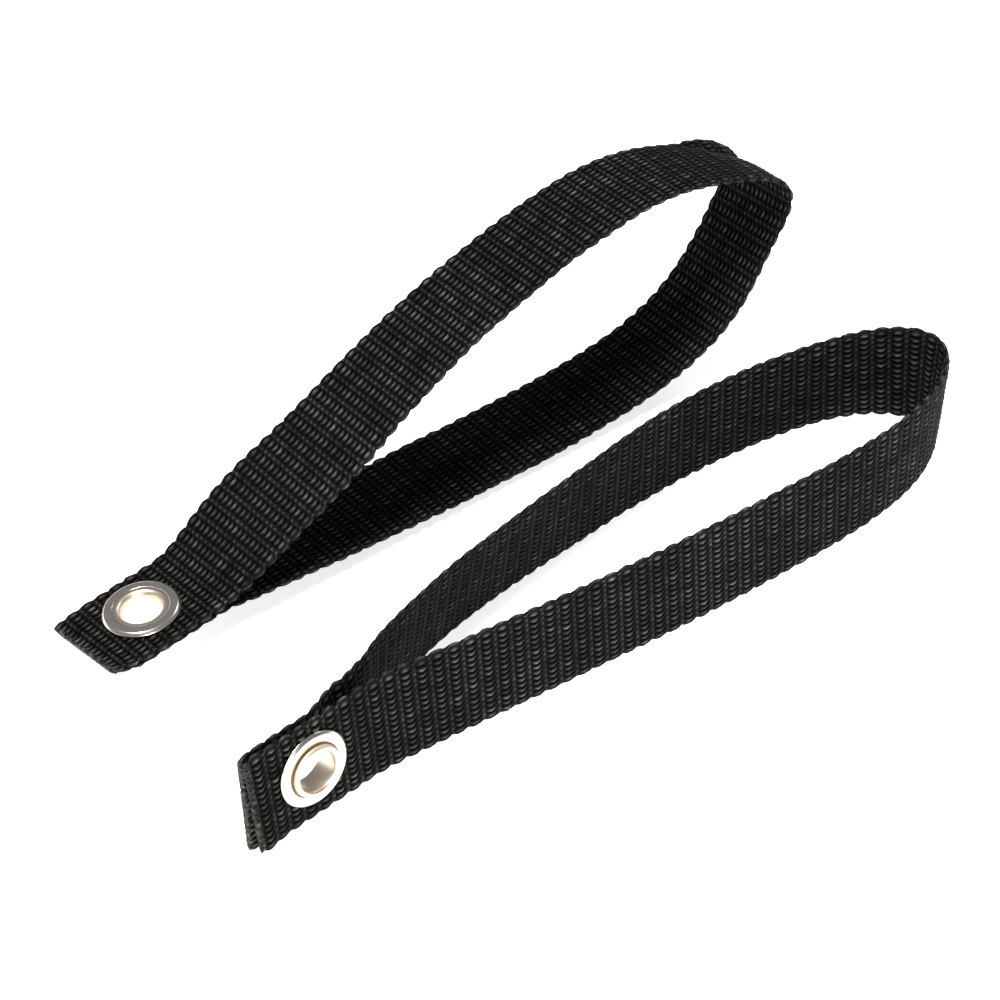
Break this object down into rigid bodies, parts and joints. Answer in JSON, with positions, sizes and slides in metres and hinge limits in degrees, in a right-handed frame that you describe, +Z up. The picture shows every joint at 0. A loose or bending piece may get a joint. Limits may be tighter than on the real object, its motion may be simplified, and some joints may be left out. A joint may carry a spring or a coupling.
{
  "type": "webbing tie-down loop pair",
  "caption": "Pair of folded woven webbing loops, each with a crimped metal eyelet through its joined cut ends, for anchoring hooks or straps with a screw.",
  "frame": {"origin": "middle of the pair's footprint, on the surface that the loops rest on", "axes": "+X along loop 1 from its eyelet end to its far bend, +Z up"},
  "size_m": [0.208, 0.102, 0.0579],
  "materials": {
    "webbing": "matte woven polypropylene",
    "eyelet_metal": "satin nickel plate",
    "washer_metal": "satin nickel plate"
  },
  "bodies": {
    "strap_1_tab": {"strap_1_tab_front": "webbing", "strap_1_tab_back": "webbing", "strap_1_eyelet": "eyelet_metal", "strap_1_washer": "washer_metal"},
    "strap_1_loop": {"strap_1_loop": "webbing"},
    "strap_2_tab": {"strap_2_tab_front": "webbing", "strap_2_tab_back": "webbing", "strap_2_eyelet": "eyelet_metal", "strap_2_washer": "washer_metal"},
    "strap_2_loop": {"strap_2_loop": "webbing"}
  },
  "joints": [
    {"name": "strap_1_fold", "type": "hinge", "parent": "strap_1_tab", "child": "strap_1_loop", "pos_m": [-0.07603, -0.02875, 0.01372], "axis": [0, 0, 1], "range_deg": [-90, 5]},
    {"name": "strap_2_lift", "type": "slide", "parent": "strap_1_tab", "child": "strap_2_tab", "axis": [0, 0, 1], "range_m": [0, 0.1]},
    {"name": "strap_2_fold", "type": "hinge", "parent": "strap_2_tab", "child": "strap_2_loop", "pos_m": [-0.06733, 0.03715, 0.00572], "axis": [-0.0527, -0.9935, 0.1006], "range_deg": [0, 90]}
  ]
}
